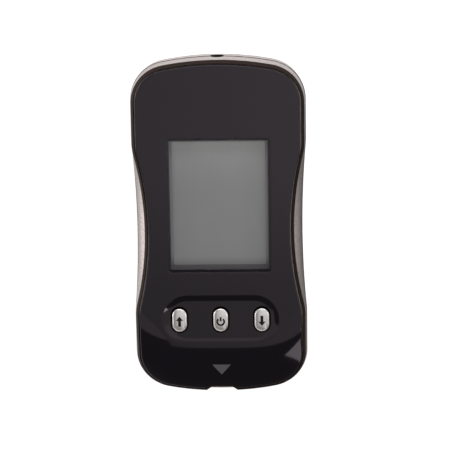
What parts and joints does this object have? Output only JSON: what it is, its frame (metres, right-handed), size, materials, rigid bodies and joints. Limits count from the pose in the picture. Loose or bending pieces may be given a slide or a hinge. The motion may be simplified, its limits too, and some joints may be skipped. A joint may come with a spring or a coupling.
{
  "type": "blood glucose meter",
  "caption": "Waisted handheld blood glucose meter with glossy black face, tall display window, silver keys in a dish, strip port, data socket and sliding battery door.",
  "frame": {"origin": "middle of the flat back that the meter lies on", "axes": "+Z out of the glossy face, +Y towards the data port end, +X across the width"},
  "size_m": [0.047, 0.0933, 0.0152],
  "materials": {
    "gloss_black": "polished black acrylic",
    "textured_dark": "spark-textured dark brown-grey ABS",
    "tape": "black foam tape",
    "silver_shell": "fine metallic silver paint on ABS",
    "clear_lens": "clear acrylic",
    "lcd_glass": "grey reflective liquid crystal panel",
    "elastomer": "layered conductive silicone",
    "board": "green solder mask on glass epoxy",
    "moulded_black": "moulded black",
    "ceramic": "fired ceramic with tinned ends",
    "steel": "nickel-plated steel",
    "connector_ivory": "moulded ivory",
    "contact_gold": "gold-plated bronze",
    "key_silver": "satin silver paint on ABS"
  },
  "bodies": {
    "meter": {"faceplate": "gloss_black", "front_bezel": "textured_dark", "face_tape": "tape", "front_case": "silver_shell", "rear_case": "silver_shell", "display_lens": "clear_lens", "lcd_panel": "lcd_glass", "lcd_frame": "textured_dark", "zebra_strip": "elastomer", "circuit_board": "board", "microcontroller": "moulded_black", "memory_chip": "moulded_black", "signal_amplifier": "moulded_black", "board_passives": "ceramic", "timing_crystal": "steel", "temperature_sensor": "moulded_black", "sounder": "moulded_black", "strip_connector": "connector_ivory", "strip_contacts": "contact_gold", "data_jack": "moulded_black", "jack_contacts": "contact_gold", "dome_up": "steel", "dome_power": "steel", "dome_down": "steel", "coin_cell_left": "steel", "coin_cell_right": "steel", "cell_contact_plus": "contact_gold", "cell_contact_minus": "contact_gold", "case_screws": "steel", "board_screws": "steel"},
    "key_up": {"key_up": "key_silver"},
    "key_power": {"key_power": "key_silver"},
    "key_down": {"key_down": "key_silver"},
    "battery_door": {"battery_door": "silver_shell"}
  },
  "joints": [
    {"name": "key_up_press", "type": "slide", "parent": "meter", "child": "key_up", "axis": [0, 0, -1], "range_m": [0, 0.00045], "stiffness_N_per_m": 3000, "springref_m": -0.0001, "deforming": ["dome_up"]},
    {"name": "key_power_press", "type": "slide", "parent": "meter", "child": "key_power", "axis": [0, 0, -1], "range_m": [0, 0.00045], "stiffness_N_per_m": 3000, "springref_m": -0.0001, "deforming": ["dome_power"]},
    {"name": "key_down_press", "type": "slide", "parent": "meter", "child": "key_down", "axis": [0, 0, -1], "range_m": [0, 0.00045], "stiffness_N_per_m": 3000, "springref_m": -0.0001, "deforming": ["dome_down"]},
    {"name": "battery_door_slide", "type": "slide", "parent": "meter", "child": "battery_door", "axis": [0, 1, 0], "range_m": [0, 0.024]}
  ]
}
